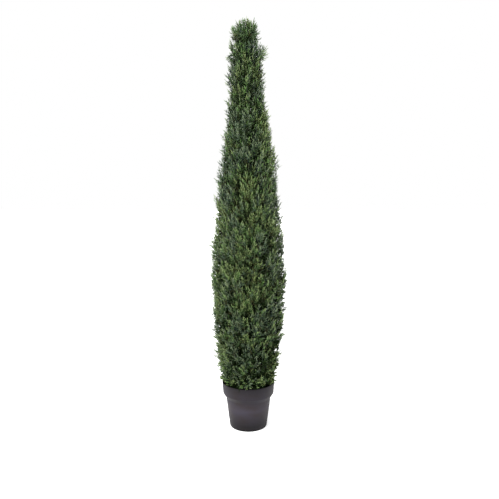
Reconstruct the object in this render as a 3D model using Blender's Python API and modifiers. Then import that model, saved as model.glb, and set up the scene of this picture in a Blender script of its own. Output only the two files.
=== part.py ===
"""Potted cypress cone topiary, an artificial garden tree 2.1 m tall.

A round nursery pot holds a cast fill, and a slim trunk stands in a socket in the fill.
Tiers of foliage masses surround the trunk, and each hangs on a bough that starts at it.
Sizes are in metres, +Z is up, and the origin is under the middle of the pot.
"""

import math
import random

import bmesh
import bpy
from mathutils import Matrix, Vector

# Clearance between pieces that touch on the real tree
GAP = 0.0003

# Nursery pot
POT_HEIGHT = 0.242
RIM_RADIUS = 0.1385
RIM_FOOT_RADIUS = 0.1340
RIM_DEPTH = 0.060
STEP_DEPTH = 0.024
SHOULDER_RADIUS = 0.1178
BASE_RADIUS = 0.0990
BASE_ROUND = 0.007
LIP_ROUND = 0.0010
WALL = 0.0028
ROUND_STEPS = 36

# Cast fill and the socket that the trunk stands in
FILL_TOP = 0.206
SOCKET_DEPTH = 0.120

# Trunk, from its foot in the fill to its tip under the topmost mass
TRUNK_FOOT_RADIUS = 0.0180
TRUNK_RADIUS = 0.0140
TRUNK_TIP_RADIUS = 0.0050
TRUNK_FLARE = 0.090
TRUNK_TIP = 1.900
TRUNK_STATIONS = 14
LEAN = 0.016
LEAN_FROM = 1.25
LEAN_TO = 2.05

# Crown outline: height above the ground and radius at the tips
CROWN_OUTLINE = (
    (0.240, 0.146),
    (0.400, 0.166),
    (0.600, 0.180),
    (0.800, 0.189),
    (0.950, 0.179),
    (1.150, 0.154),
    (1.350, 0.138),
    (1.600, 0.108),
    (1.760, 0.090),
    (1.930, 0.078),
    (2.040, 0.068),
    (2.070, 0.050),
    (2.090, 0.014),
)
# Rise of the boughs above level, in degrees, at the height where they reach the outline
BOUGH_RISE = (
    (0.250, 2.0),
    (0.340, 24.0),
    (0.500, 40.0),
    (0.800, 49.0),
    (1.400, 58.0),
    (2.100, 67.0),
)

# Tiers of masses and what each mass is made of
CROWN_FOOT = 0.250
CROWN_TOP_TIER = 1.975
TIERS = 8
WIDE_SECTORS = 4
SLIM_SECTORS = 3
SLIM_RADIUS = 0.112
# Turn from one tier to the next, as a share of a sector, and turn of the first
TIER_TURN = 0.38
FIRST_TURN = 0.30
# Room between a mass and the edge of its space, for its sprays and for its flat-sided core
MASS_MARGIN = 0.0012
CORE_MARGIN = 0.0045
# Shares of the crown's radius: where a core starts and ends, its bulge, its tucked-in foot
CORE_INNER = 0.36
CORE_OUTER = 0.58
CORE_BULGE = 0.14
CORE_TUCK = 0.08
BOUGH_RADIUS = 0.0060
BOUGH_END_RADIUS = 0.0042
BOUGH_SIDES = 5

# Sprays: three-pronged blades that stand out of a mass's core
SPRAY_ROWS = 4
SPRAY_PITCH = 0.0660
# Height of the level sprays over the pot's rim, above the foot of the crown
SKIRT = 0.0065
SKIRT_LOOSENESS = 0.03
SPRAY_WIDTH = 0.066
SPRAY_THICKNESS = 0.0060
SPRAY_ROOT = 0.47
SPRAY_REACH = (0.98, 1.10)
# How much higher than its root a spray's tip lies, on the outline's height scale
SPRAY_LIFT = 0.050
SPRAY_LIFT_SPREAD = (0.3, 1.4)
ROOT_DROP = 0.6
SPRAY_ROLL = 0.7
# Sideways shift of every other row, in columns, and shift of the tips, in rows and columns
ROW_STAGGER = 0.15
TIP_DRIFT = (0.2, 0.4)
# A spray that leaves its mass's space is redrawn this often, and drawn in by this share
SPRAY_TRIES = 24
DRAW_IN = 0.35
# Shares of a blade's length, and of its half width: side teeth, notches and thickest point
TOOTH_AT = 0.86
NOTCH_AT = 0.75
NOTCH_WIDTH = 0.42
CREST_AT = 0.50
# Rings of the top tuft: number of sprays, spread of their tips and height of their tips
TOP_RINGS = (
    (7, (0.060, 0.070), (2.015, 2.050)),
    (5, (0.036, 0.052), (2.055, 2.080)),
    (3, (0.004, 0.020), (2.072, 2.090)),
)
TOP_SPRAY_WIDTH = 0.046
TOP_SPRAY_DROP = 0.085
TOP_SPRAY_ROLL = 0.5
TOP_CORE_HEIGHTS = (1.918, 1.985)
TOP_CORE_RADII = (0.015, 0.026)
TOP_ROOTS = (1.942, 1.965)

# Base colours
GREENS = {
    "foliage_dark": (0.045, 0.085, 0.030),
    "foliage_mid": (0.060, 0.115, 0.038),
    "foliage_light": (0.080, 0.150, 0.045),
}
TRUNK_BROWN = (0.090, 0.065, 0.045)
POT_CHARCOAL = (0.075, 0.070, 0.078)
FILL_DARK = (0.030, 0.028, 0.026)


def between(table, height):
    """Reads a table of (height, value) pairs along straight lines."""
    if height <= table[0][0]:
        return table[0][1]
    for (low, low_value), (high, high_value) in zip(table, table[1:]):
        if height <= high:
            share = (height - low) / (high - low)
            return low_value + share * (high_value - low_value)
    return table[-1][1]


def crown_radius(height):
    return between(CROWN_OUTLINE, height)


def bough_foot(height):
    """Height on the trunk where the bough starts that meets the outline at this height."""
    rise = math.tan(math.radians(between(BOUGH_RISE, height)))
    return height - crown_radius(height) * rise


def lean(height):
    """Sideways shift of the trunk, which bends a little towards -X near its top."""
    share = min(1.0, max(0.0, (height - LEAN_FROM) / (LEAN_TO - LEAN_FROM)))
    return -LEAN * share * share * (3 - 2 * share)


def trunk_radius(height):
    flare = max(0.0, 1 - (height - FILL_TOP) / TRUNK_FLARE) ** 2
    share = max(0.0, (height - FILL_TOP) / (TRUNK_TIP - FILL_TOP))
    slim = TRUNK_RADIUS + share * (TRUNK_TIP_RADIUS - TRUNK_RADIUS)
    return min(TRUNK_FOOT_RADIUS, slim + flare * (TRUNK_FOOT_RADIUS - TRUNK_RADIUS))


def crown_point(height, turn, share):
    """A point on the way from the trunk, share 0, to the outline at this height, share 1."""
    foot = bough_foot(height)
    z = foot + share * (height - foot)
    r = share * crown_radius(height)
    return Vector((lean(z) + r * math.cos(turn), r * math.sin(turn), z))


def crown_place(point):
    """Turns a point back into the outline height and the turn that its bough would have."""
    x, y = point.x - lean(point.z), point.y
    r = math.hypot(x, y)
    low, high = 0.0, CROWN_OUTLINE[-1][0] + 0.3
    for _ in range(30):
        middle = (low + high) / 2
        foot = bough_foot(middle)
        if foot + r / crown_radius(middle) * (middle - foot) < point.z:
            low = middle
        else:
            high = middle
    return low, math.atan2(y, x)


def paint(obj, name, color, roughness):
    """Gives the object one Principled material."""
    material = bpy.data.materials.get(name)
    if material is None:
        material = bpy.data.materials.new(name)
        material.use_nodes = True
        shader = material.node_tree.nodes["Principled BSDF"]
        shader.inputs["Base Color"].default_value = (*color, 1.0)
        shader.inputs["Roughness"].default_value = roughness
        shader.inputs["Metallic"].default_value = 0.0
    obj.data.materials.clear()
    obj.data.materials.append(material)


def add_object(name, data, collection):
    obj = bpy.data.objects.new(name, data)
    collection.objects.link(obj)
    return obj


def mesh_object(name, bm, collection):
    mesh = bpy.data.meshes.new(name)
    bm.to_mesh(mesh)
    bm.free()
    return add_object(name, mesh, collection)


def turned(name, profile, collection):
    """Turns a profile of (radius, height) points about Z. It runs down its outer side."""
    mesh = bpy.data.meshes.new(name)
    points = [(r, 0.0, z) for r, z in profile]
    mesh.from_pydata(points, [(i, i + 1) for i in range(len(points) - 1)], [])
    obj = add_object(name, mesh, collection)
    screw = obj.modifiers.new("turn", "SCREW")
    screw.axis = "Z"
    screw.angle = 2 * math.pi
    screw.steps = screw.render_steps = ROUND_STEPS
    screw.use_merge_vertices = True
    screw.merge_threshold = 0.00001
    screw.use_smooth_shade = True
    return obj


def pot_outline(inset):
    """The pot's outer line from lip to bottom centre, moved inwards by inset."""
    step_top = POT_HEIGHT - RIM_DEPTH
    step_foot = step_top - STEP_DEPTH
    line = [
        (RIM_RADIUS, POT_HEIGHT),
        (RIM_FOOT_RADIUS, step_top),
        (SHOULDER_RADIUS, step_foot),
    ]
    centre_r = BASE_RADIUS - BASE_ROUND
    for degrees in (0, 30, 60, 90):
        angle = math.radians(degrees)
        r = centre_r + BASE_ROUND * math.cos(angle)
        line.append((r, BASE_ROUND * (1 - math.sin(angle))))
    line.append((0.0, 0.0))
    normals = []
    for (r0, z0), (r1, z1) in zip(line, line[1:]):
        length = math.hypot(r1 - r0, z1 - z0)
        normals.append(((z1 - z0) / length, (r0 - r1) / length))
    moved = []
    for i, (r, z) in enumerate(line):
        before = normals[max(i - 1, 0)]
        after = normals[min(i, len(normals) - 1)]
        turn = 1 + before[0] * after[0] + before[1] * after[1]
        moved.append(
            (
                r + inset * (before[0] + after[0]) / turn,
                z + inset * (before[1] + after[1]) / turn,
            )
        )
    moved[0] = (moved[0][0], POT_HEIGHT)
    moved[-1] = (0.0, moved[-1][1])
    return moved


def build_pot(collection):
    outer = pot_outline(0.0)
    inner = pot_outline(WALL)[::-1]
    lip_outer = (outer[0][0], POT_HEIGHT - LIP_ROUND)
    lip_inner = (inner[-1][0], POT_HEIGHT - LIP_ROUND)
    crest = (
        (inner[-1][0] + LIP_ROUND, POT_HEIGHT),
        (outer[0][0] - LIP_ROUND, POT_HEIGHT),
    )
    profile = [*inner[:-1], lip_inner, *crest, lip_outer, *outer[1:]]
    pot = turned("pot", profile, collection)
    paint(pot, "pot", POT_CHARCOAL, 0.55)


def build_fill(collection):
    """The cast weight in the pot, with a blind socket for the trunk."""
    outline = pot_outline(WALL + GAP)
    above = [p for p in outline if p[1] >= FILL_TOP]
    below = [p for p in outline if p[1] < FILL_TOP]
    (r0, z0), (r1, z1) = above[-1], below[0]
    edge = (r0 + (FILL_TOP - z0) / (z1 - z0) * (r1 - r0), FILL_TOP)
    socket_r = TRUNK_FOOT_RADIUS + GAP
    socket_floor = FILL_TOP - SOCKET_DEPTH
    profile = [
        (0.0, socket_floor),
        (socket_r, socket_floor),
        (socket_r, FILL_TOP),
        edge,
        *below,
    ]
    fill = turned("fill", profile, collection)
    paint(fill, "fill", FILL_DARK, 0.9)


def build_trunk(collection):
    """The trunk, one tapering limb with a flare where it leaves the fill."""
    foot = FILL_TOP - SOCKET_DEPTH + GAP
    heights = [foot, FILL_TOP]
    heights += [FILL_TOP + TRUNK_FLARE * share for share in (0.25, 0.5, 1.0)]
    rest = TRUNK_TIP - heights[-1]
    first = heights[-1]
    heights += [first + rest * i / TRUNK_STATIONS for i in range(1, TRUNK_STATIONS + 1)]
    curve = bpy.data.curves.new("trunk", "CURVE")
    curve.dimensions = "3D"
    curve.bevel_depth = TRUNK_FOOT_RADIUS
    curve.bevel_resolution = 4
    curve.use_fill_caps = True
    spline = curve.splines.new("POLY")
    spline.points.add(len(heights) - 1)
    for point, z in zip(spline.points, heights):
        point.co = (lean(z), 0.0, z, 1.0)
        point.radius = trunk_radius(z) / TRUNK_FOOT_RADIUS
    trunk = add_object("trunk", curve, collection)
    paint(trunk, "trunk", TRUNK_BROWN, 0.85)


def core_block(name, heights, turns, collection):
    """The dense heart of a mass: a cube bent to the crown between two tiers and two turns."""
    bm = bmesh.new()
    bmesh.ops.create_cube(bm, size=1.0, matrix=Matrix.Translation((0.5, 0.5, 0.5)))
    quarters = [((0, 1, 0), share) for share in (0.25, 0.5, 0.75)]
    for normal, share in (*quarters, ((0, 0, 1), 0.5)):
        geometry = [*bm.verts, *bm.edges, *bm.faces]
        place = Vector(normal) * share
        bmesh.ops.bisect_plane(bm, geom=geometry, plane_co=place, plane_no=normal)
    middle = (heights[0] + heights[1]) / 2
    slack = MASS_MARGIN / crown_radius(middle) / CORE_INNER
    for vert in bm.verts:
        out, along, up = vert.co
        height = heights[0] + CORE_MARGIN + up * (heights[1] - heights[0] - 2 * CORE_MARGIN)
        turn = turns[0] + slack + along * (turns[1] - turns[0] - 2 * slack)
        swell = CORE_BULGE * math.sin(math.pi * along) * math.sin(math.pi * up)
        outer = CORE_OUTER + swell - CORE_TUCK * (1 - up)
        share = CORE_INNER + out * (outer - CORE_INNER)
        vert.co = crown_point(height, turn, share)
    bmesh.ops.recalc_face_normals(bm, faces=bm.faces)
    return mesh_object(name, bm, collection)


def limb(name, start, end, radii, collection):
    """A tapering limb from start to end."""
    bm = bmesh.new()
    along = end - start
    turn = along.to_track_quat("Z", "Y").to_matrix().to_4x4()
    bmesh.ops.create_cone(
        bm,
        cap_ends=True,
        segments=BOUGH_SIDES,
        radius1=radii[0],
        radius2=radii[1],
        depth=along.length,
        matrix=Matrix.Translation((start + end) / 2) @ turn,
    )
    return mesh_object(name, bm, collection)


def blade_points(root, tip, roll, width):
    """Corners of a three-pronged spray: six round its edge, then its two faces' crests."""
    along = tip - root
    side = along.cross(Vector((0.0, 0.0, 1.0)))
    if side.length < 1e-4 * along.length:
        side = Vector((0.0, 1.0, 0.0))
    side = (Matrix.Rotation(roll, 3, along) @ side.normalized()) * width / 2
    crest = along.cross(side).normalized() * SPRAY_THICKNESS / 2
    tooth = root + TOOTH_AT * along
    notch = root + NOTCH_AT * along
    inset = NOTCH_WIDTH * side
    edge = [tip, notch + inset, tooth + side, root, tooth - side, notch - inset]
    middle = root + CREST_AT * along
    return edge, (middle + crest, middle - crest)


def spray(edge, crests, collection):
    """A flat sphere of six segments whose corners are drawn out to the blade's outline."""
    bm = bmesh.new()
    bmesh.ops.create_uvsphere(bm, u_segments=6, v_segments=2, radius=1.0)
    for vert in bm.verts:
        if abs(vert.co.z) > 0.5:
            vert.co = crests[0] if vert.co.z > 0 else crests[1]
        else:
            step = round(math.atan2(vert.co.y, vert.co.x) / (math.pi / 3))
            vert.co = edge[step % 6]
    bmesh.ops.recalc_face_normals(bm, faces=bm.faces)
    return mesh_object("spray", bm, collection)


def keeps_to(edge, crests, heights, turns):
    """Whether a blade's corners and the middles between them lie in the mass's own space."""
    middle = (turns[0] + turns[1]) / 2
    points = [*edge, *crests]
    points += [(a + b) / 2 for a, b in zip(edge, edge[1:] + edge[:1])]
    points += [(a + b) / 2 for a in edge for b in crests]
    for point in points:
        height, turn = crown_place(point)
        off = math.remainder(turn - middle, 2 * math.pi)
        r = math.hypot(point.x - lean(point.z), point.y)
        side_room = (turns[1] - turns[0]) / 2 - MASS_MARGIN / r
        if not heights[0] + MASS_MARGIN < height < heights[1] - MASS_MARGIN:
            return False
        if abs(off) > side_room:
            return False
    return True


def mass_sprays(heights, turns, dice):
    """Blades over a mass's face, in staggered rows. One that leaves the space is redrawn."""
    centre = (turns[0] + turns[1]) / 2
    radius = crown_radius((heights[0] + heights[1]) / 2)
    pitch = (heights[1] - heights[0]) / SPRAY_ROWS
    row_heights = [heights[0] + (row + 0.5) * pitch for row in range(SPRAY_ROWS)]
    lowest_root = heights[0] + 3 * CORE_MARGIN
    if heights[0] == CROWN_FOOT:
        row_heights.insert(0, heights[0] + SKIRT)
        lowest_root = heights[0] + SKIRT
    blades = []
    for row, height in enumerate(row_heights):
        loose = SKIRT_LOOSENESS if height < heights[0] + pitch / 4 else 1.0
        arc = (turns[1] - turns[0]) * crown_radius(height)
        columns = max(2, round(arc / SPRAY_PITCH))
        for column in range(columns):
            stagger = ROW_STAGGER if row % 2 else -ROW_STAGGER
            share = (column + 0.5 + stagger) / columns
            for attempt in range(SPRAY_TRIES):
                ease = 1 - DRAW_IN * attempt / SPRAY_TRIES
                lift = loose * SPRAY_LIFT * dice.uniform(*SPRAY_LIFT_SPREAD)
                root_height = max(lowest_root, height - ROOT_DROP * lift)
                turn = centre + ease * (share - 0.5) * (turns[1] - turns[0])
                root = crown_point(root_height, turn, SPRAY_ROOT)
                rise = dice.uniform(-TIP_DRIFT[0], TIP_DRIFT[0]) * pitch
                tip_height = height + (1 - ROOT_DROP) * lift + loose * rise
                drift = dice.uniform(-TIP_DRIFT[1], TIP_DRIFT[1]) * SPRAY_PITCH / radius
                tip = crown_point(tip_height, turn + ease * drift, dice.uniform(*SPRAY_REACH))
                roll = loose * dice.uniform(-SPRAY_ROLL, SPRAY_ROLL)
                width = SPRAY_WIDTH * dice.uniform(0.85, 1.1) * ease
                edge, crests = blade_points(root, tip, roll, width)
                if keeps_to(edge, crests, heights, turns):
                    blades.append((edge, crests))
                    break
    return blades


def fuse(core, parts):
    """One Boolean union joins the core and all that stands in the collection."""
    union = core.modifiers.new("fuse", "BOOLEAN")
    union.operation = "UNION"
    union.operand_type = "COLLECTION"
    union.collection = parts
    union.solver = "EXACT"
    bpy.context.view_layer.objects.active = core
    bpy.ops.object.modifier_apply(modifier=union.name)
    for obj in list(parts.objects):
        bpy.data.objects.remove(obj)
    bpy.data.collections.remove(parts)


def set_origin(obj, origin):
    """Moves the object's origin to the foot of its bough, with the mesh left in place."""
    obj.data.transform(Matrix.Translation(-origin))
    obj.location = origin


def build_mass(name, heights, turns, tint, seed, collection):
    """One bough's foliage: core, bough and sprays in one solid."""
    middle = (heights[0] + heights[1]) / 2
    turn = (turns[0] + turns[1]) / 2
    core = core_block(name, heights, turns, collection)
    parts = bpy.data.collections.new(name + "_parts")
    bpy.context.scene.collection.children.link(parts)
    foot_height = bough_foot(middle)
    rise = math.radians(between(BOUGH_RISE, middle))
    clear = trunk_radius(foot_height) + GAP + BOUGH_RADIUS * math.sin(rise)
    start = crown_point(middle, turn, clear / crown_radius(middle))
    end = crown_point(middle, turn, (CORE_INNER + CORE_OUTER) / 2)
    limb("bough", start, end, (BOUGH_RADIUS, BOUGH_END_RADIUS), parts)
    for edge, crests in mass_sprays(heights, turns, random.Random(seed)):
        spray(edge, crests, parts)
    fuse(core, parts)
    set_origin(core, start)
    paint(core, tint, GREENS[tint], 0.6)


def build_tiers(collection):
    """All tiers, each turned against the one below so that their seams don't line up."""
    step = (CROWN_TOP_TIER - CROWN_FOOT) / TIERS
    for tier in range(TIERS):
        heights = (CROWN_FOOT + tier * step, CROWN_FOOT + (tier + 1) * step)
        wide = crown_radius(sum(heights) / 2) > SLIM_RADIUS
        sectors = WIDE_SECTORS if wide else SLIM_SECTORS
        sector = 2 * math.pi / sectors
        first = FIRST_TURN + tier * TIER_TURN * sector
        for place in range(sectors):
            turns = (first + place * sector, first + (place + 1) * sector)
            name = f"foliage_tier{tier + 1}_{place + 1}"
            tint = list(GREENS)[(tier + place) % len(GREENS)]
            build_mass(name, heights, turns, tint, 100 * tier + place, collection)


def build_top(collection):
    """The tuft over the trunk's tip, in three rings of upright sprays."""
    dice = random.Random(999)
    axis = Vector((lean(TRUNK_TIP), 0.0, 0.0))
    up = Vector((0.0, 0.0, 1.0))
    parts = bpy.data.collections.new("foliage_top_parts")
    bpy.context.scene.collection.children.link(parts)
    low, high = (axis + up * height for height in TOP_CORE_HEIGHTS)
    core = limb("foliage_top", low, high, TOP_CORE_RADII, collection)
    start = axis + up * (TRUNK_TIP + GAP)
    limb("bough", start, (low + high) / 2, (TRUNK_TIP_RADIUS, BOUGH_RADIUS), parts)
    space = (CROWN_TOP_TIER, CROWN_OUTLINE[-1][0] + 0.25)
    all_round = (-math.pi, math.pi + 0.2)
    for count, spreads, tips in TOP_RINGS:
        for place in range(count):
            for _ in range(SPRAY_TRIES):
                turn = 2 * math.pi * (place + dice.uniform(-0.2, 0.2)) / count
                out = Vector((math.cos(turn), math.sin(turn), 0.0))
                spread = dice.uniform(*spreads)
                tip_height = dice.uniform(*tips)
                drop = min(TOP_ROOTS[1], tip_height - TOP_SPRAY_DROP)
                root = axis + 0.2 * spread * out + up * max(TOP_ROOTS[0], drop)
                tip = axis + spread * out + up * tip_height
                width = TOP_SPRAY_WIDTH * dice.uniform(0.8, 1.0)
                roll = dice.uniform(-TOP_SPRAY_ROLL, TOP_SPRAY_ROLL)
                edge, crests = blade_points(root, tip, roll, width)
                if keeps_to(edge, crests, space, all_round):
                    spray(edge, crests, parts)
                    break
    fuse(core, parts)
    set_origin(core, start)
    paint(core, "foliage_light", GREENS["foliage_light"], 0.6)


def main():
    for obj in list(bpy.data.objects):
        bpy.data.objects.remove(obj)
    topiary = bpy.data.collections.new("cone_topiary")
    bpy.context.scene.collection.children.link(topiary)
    build_pot(topiary)
    build_fill(topiary)
    build_trunk(topiary)
    build_tiers(topiary)
    build_top(topiary)


main()
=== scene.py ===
"""Looks of the potted cypress cone topiary.

The crown grows by the same seeded rule as the solids: a bough from the trunk into each mass,
twigs to the three prongs of each spray, and feathery fronds of small leaves along the twigs.
"""

import math
import random

import bpy
import numpy as np
from mathutils import Matrix, Vector, noise


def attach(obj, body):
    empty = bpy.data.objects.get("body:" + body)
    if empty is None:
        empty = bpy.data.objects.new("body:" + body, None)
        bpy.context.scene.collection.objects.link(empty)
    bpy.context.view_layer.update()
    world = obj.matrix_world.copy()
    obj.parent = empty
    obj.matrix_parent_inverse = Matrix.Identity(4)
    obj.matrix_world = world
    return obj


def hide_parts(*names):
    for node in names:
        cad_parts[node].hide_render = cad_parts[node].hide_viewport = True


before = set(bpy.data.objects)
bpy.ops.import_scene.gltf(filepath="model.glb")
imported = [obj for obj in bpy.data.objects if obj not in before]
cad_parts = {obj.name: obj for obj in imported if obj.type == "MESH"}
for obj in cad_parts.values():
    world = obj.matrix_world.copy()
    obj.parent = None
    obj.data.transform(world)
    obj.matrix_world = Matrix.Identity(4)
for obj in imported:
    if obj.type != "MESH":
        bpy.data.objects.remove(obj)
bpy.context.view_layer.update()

# Nursery pot, in metres
POT_HEIGHT = 0.242
RIM_RADIUS = 0.1385
RIM_FOOT_RADIUS = 0.1340
RIM_DEPTH = 0.060
STEP_DEPTH = 0.024
SHOULDER_RADIUS = 0.1178
BASE_RADIUS = 0.0990
BASE_ROUND = 0.007
WALL = 0.0028
LIP = 0.0012
POT_SIDES = 144
# Painted light and shade on the pot by height: dark at the rim, under the foliage, and towards the
# foot, palest in the body's middle
POT_PAINTED_LIGHT_AND_SHADE = (
    (0.0, 0.10),
    (0.12, 0.22),
    (0.26, 0.50),
    (0.47, 0.92),
    (0.60, 0.72),
    (0.65, 0.62),
    (0.67, 0.48),
    (0.74, 0.46),
    (0.77, 0.54),
    (0.84, 0.50),
    (1.0, 0.28),
)

# Cast fill and trunk
FILL_TOP = 0.206
FILL_FOOT_RADIUS = 0.090
FILL_RINGS = 26
FILL_SIDES = 96
FILL_GAP = 0.0004
FILL_LUMPS = 0.0022
LUMP_SCALE = 55.0
TRUNK_FOOT = 0.0863
TRUNK_FOOT_RADIUS = 0.0180
TRUNK_RADIUS = 0.0140
TRUNK_TIP_RADIUS = 0.0050
TRUNK_FLARE = 0.090
TRUNK_TIP = 1.900
TRUNK_SIDES = 30
TRUNK_RINGS = 180
BARK_DEPTH = 0.05
LEAN = 0.016
LEAN_FROM = 1.25
LEAN_TO = 2.05

# Crown outline: height above the ground and radius at the tips
CROWN_OUTLINE = (
    (0.240, 0.146),
    (0.400, 0.166),
    (0.600, 0.180),
    (0.800, 0.189),
    (0.950, 0.179),
    (1.150, 0.154),
    (1.350, 0.138),
    (1.600, 0.108),
    (1.760, 0.090),
    (1.930, 0.078),
    (2.040, 0.068),
    (2.070, 0.050),
    (2.090, 0.014),
)
BOUGH_RISE = (
    (0.250, 2.0),
    (0.340, 24.0),
    (0.500, 40.0),
    (0.800, 49.0),
    (1.400, 58.0),
    (2.100, 67.0),
)

# Tiers of masses and the rule that sets their sprays
CROWN_FOOT = 0.250
CROWN_TOP_TIER = 1.975
TIERS = 8
WIDE_SECTORS = 4
SLIM_SECTORS = 3
SLIM_RADIUS = 0.112
TIER_TURN = 0.38
FIRST_TURN = 0.30
MASS_MARGIN = 0.0012
CORE_MARGIN = 0.0045
BOUGH_RADIUS = 0.0060
SPRAY_ROWS = 4
SPRAY_PITCH = 0.0660
SKIRT = 0.0065
SKIRT_LOOSENESS = 0.03
SPRAY_WIDTH = 0.066
SPRAY_THICKNESS = 0.0060
SPRAY_WIDTHS = (0.85, 1.1)
SPRAY_ROOT = 0.47
FORK_BEFORE = 0.05
SPRAY_REACH = (0.98, 1.10)
SPRAY_LIFT = 0.050
SPRAY_LIFT_SPREAD = (0.3, 1.4)
ROOT_DROP = 0.6
SPRAY_ROLL = 0.7
ROW_STAGGER = 0.15
TIP_DRIFT = (0.2, 0.4)
SPRAY_TRIES = 24
DRAW_IN = 0.35
TOOTH_AT = 0.86
NOTCH_AT = 0.75
NOTCH_WIDTH = 0.42
CREST_AT = 0.50
TOP_RINGS = (
    (7, (0.060, 0.070), (2.015, 2.050)),
    (5, (0.036, 0.052), (2.055, 2.080)),
    (3, (0.004, 0.020), (2.072, 2.090)),
)
TOP_SEED = 999
TOP_SPRAY_WIDTH = 0.046
TOP_SPRAY_WIDTHS = (0.8, 1.0)
TOP_SPRAY_DROP = 0.085
TOP_SPRAY_ROLL = 0.5
TOP_ROOTS = (1.942, 1.965)
TOP_FOOT = 1.890

# Leaves, and the fronds that they make up
LEAF_WIDTH = 0.0048
LEAF_LENGTH = 0.0300
LEAF_BELLY = 0.62
LEAF_FOOT = 0.82
LEAF_FLATNESS = 0.60
LEAF_LENGTHS = (0.60, 1.20)
LEAF_TAPER = 0.28
LEAF_ANGLE = 48.0
LEAF_ANGLE_DROP = 18.0
LEAF_ANGLE_SPREAD = 18.0
LEAF_TILTS = (-45.0, 50.0)
NEEDLE_WIDTH = 0.0030
NEEDLE_SHARE = 0.55
NEEDLE_FLATNESS = 0.7
NEEDLE_FEET = (0.30, 0.50)
NEEDLE_TURNS = (26.0, 40.0)
STEM_WIDTH = 0.0027
STEM_SHARE = 0.8
FROND_LENGTH = 0.068
FROND_KINDS = 6
FROND_PAIRS = 3
PAIRS_REACH = 0.68
FIRST_PAIR = 0.08
PAIRS_SPAN = 0.84
PAIR_SPREAD = 0.0025
END_LEAF = 0.42
NEEDLED_FROM = 1
ZONE_SHARES = (0.44, 0.77)
FACE_WANDER = 0.9
FROND_SIZES = ((0.30, 0.98), (0.80, 0.88), (1.30, 0.95), (1.65, 0.78))
LEAST_FROND = 0.3

# Boughs, twigs and stems
CROWN_SEED = 4711
END_SEED = 4712
SIDE_SEED = 4713
BOUGH_BOW = 0.04
STEM_BOW = 0.05
TWIG_RADII = (0.0024, 0.0018)
STEM_RADII = (0.0018, 0.0008)
TWIGLET_RADII = (0.0010, 0.0007)
GOLDEN_TURN = 2.4
FULL_TURN = 6.28
MASS_MOOD = 0.3
TIP_INSETS = (
    (0.30, 0.044),
    (0.70, 0.032),
    (1.15, 0.037),
    (1.50, 0.054),
    (1.66, 0.063),
    (1.90, 0.063),
    (1.95, 0.040),
)
TOP_INSET = 0.033
INSET_SPREAD = 0.009
LEAST_PRONG = 0.30

# Twiglets round a stem, the tuft at its end and the odd wisp past it
TWIGLETS = (0.20, 0.45, 0.68, 0.90)
TWIGLET_SHIFT = 0.06
TWIGLET_LENGTH = (0.010, 0.026)
TWIGLET_SPREAD = (36.0, 68.0)
TWIGLET_RISE = 0.12
TWIGLET_SIZES = (0.75, 1.05)
UPWARDS = ((0.35, 0.30), (0.70, 0.46), (1.10, 0.44), (1.35, 0.34), (1.70, 0.20))
TUFT_FRONDS = 2
TUFT_SPREAD = (18.0, 42.0)
TUFT_SIZES = (0.62, 0.85)
TUFT_UPWARD = 0.45
END_SIZES = (0.80, 1.0)
TIP_MOOD = 0.3
WISP_SHARES = ((0.50, 0.05), (0.90, 0.16))
WISP_MOOD = 0.8
WISP_SIZE = (0.85, 1.05)

# Where fronds are left out or cut short
SKIPPED = ((0.276, 0.66), (0.300, 0.42), (0.500, 0.26), (0.800, 0.08), (1.000, 0.0))
TOP_CAP = (2.050, 2.094)
WIDEST = 0.211
OVERHANG = 0.010
CLEFT_HEIGHTS = (0.416, 0.460)
CLEFT_TURN = -0.10
CLEFT_HALF_TURN = 0.75
CLEFT_REACH = 0.132

# Coarse fronds that close the view through the crown, in near-black tones that are painted shade
FILLER_SEED = 77
FILLER_LEAF = (0.0095, 0.0360)
FILLER_REACH = 0.036
FILLER_LEAVES = 7
FILLER_ANGLES = (20.0, 75.0)
FILLER_SIZES = ((1.30, 1.00), (1.66, 0.74))
FILLED_AT = (0.15, 0.42, 0.70)
INNER_FILLED_AT = (0.2, 0.45, 0.7, 1.0)
BOUGH_FILLED_AT = (0.25, 0.50, 0.75, 1.0)
BOUGH_ROUNDS = 2
LEADER = (1.72, 1.96)
LEADER_FILLED_AT = (0.0, 0.15, 0.3, 0.45, 0.6, 0.7, 0.8, 0.9, 1.0)
LEADER_ROUNDS = 7
END_FILLED = (0.30, 1.70)
END_FILLER = 0.50
END_RISE = (0.0, 0.8)
END_BESIDE = 0.85
END_TONES = ("shade", "umber", "shade", "cool")
# Painted shade: fillers below this height take the blackest tone, and those near the outline a
# dark green
BLACKEST_SHADE_BELOW = 0.80
HOLLOW_WITHIN = 0.82

# Stems round the leader at the foot of the top tuft, and longer ones at the right
COLLAR = 16
COLLAR_HEIGHTS = (1.845, 1.915)
COLLAR_REACH = (0.026, 0.044)
SIDE_TUFTS = ((-0.15, 1.906, 0.082), (-0.35, 1.590, 0.090))
SIDE_TUFT_SEED = 31
SIDE_STEMS = 3
SIDE_SPREAD = (0.30, 0.016)
SIDE_RISE = 0.030
SIDE_FOOT = 0.4

# Most triangles in one joined piece
PIECE_LIMIT = 190000
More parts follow.
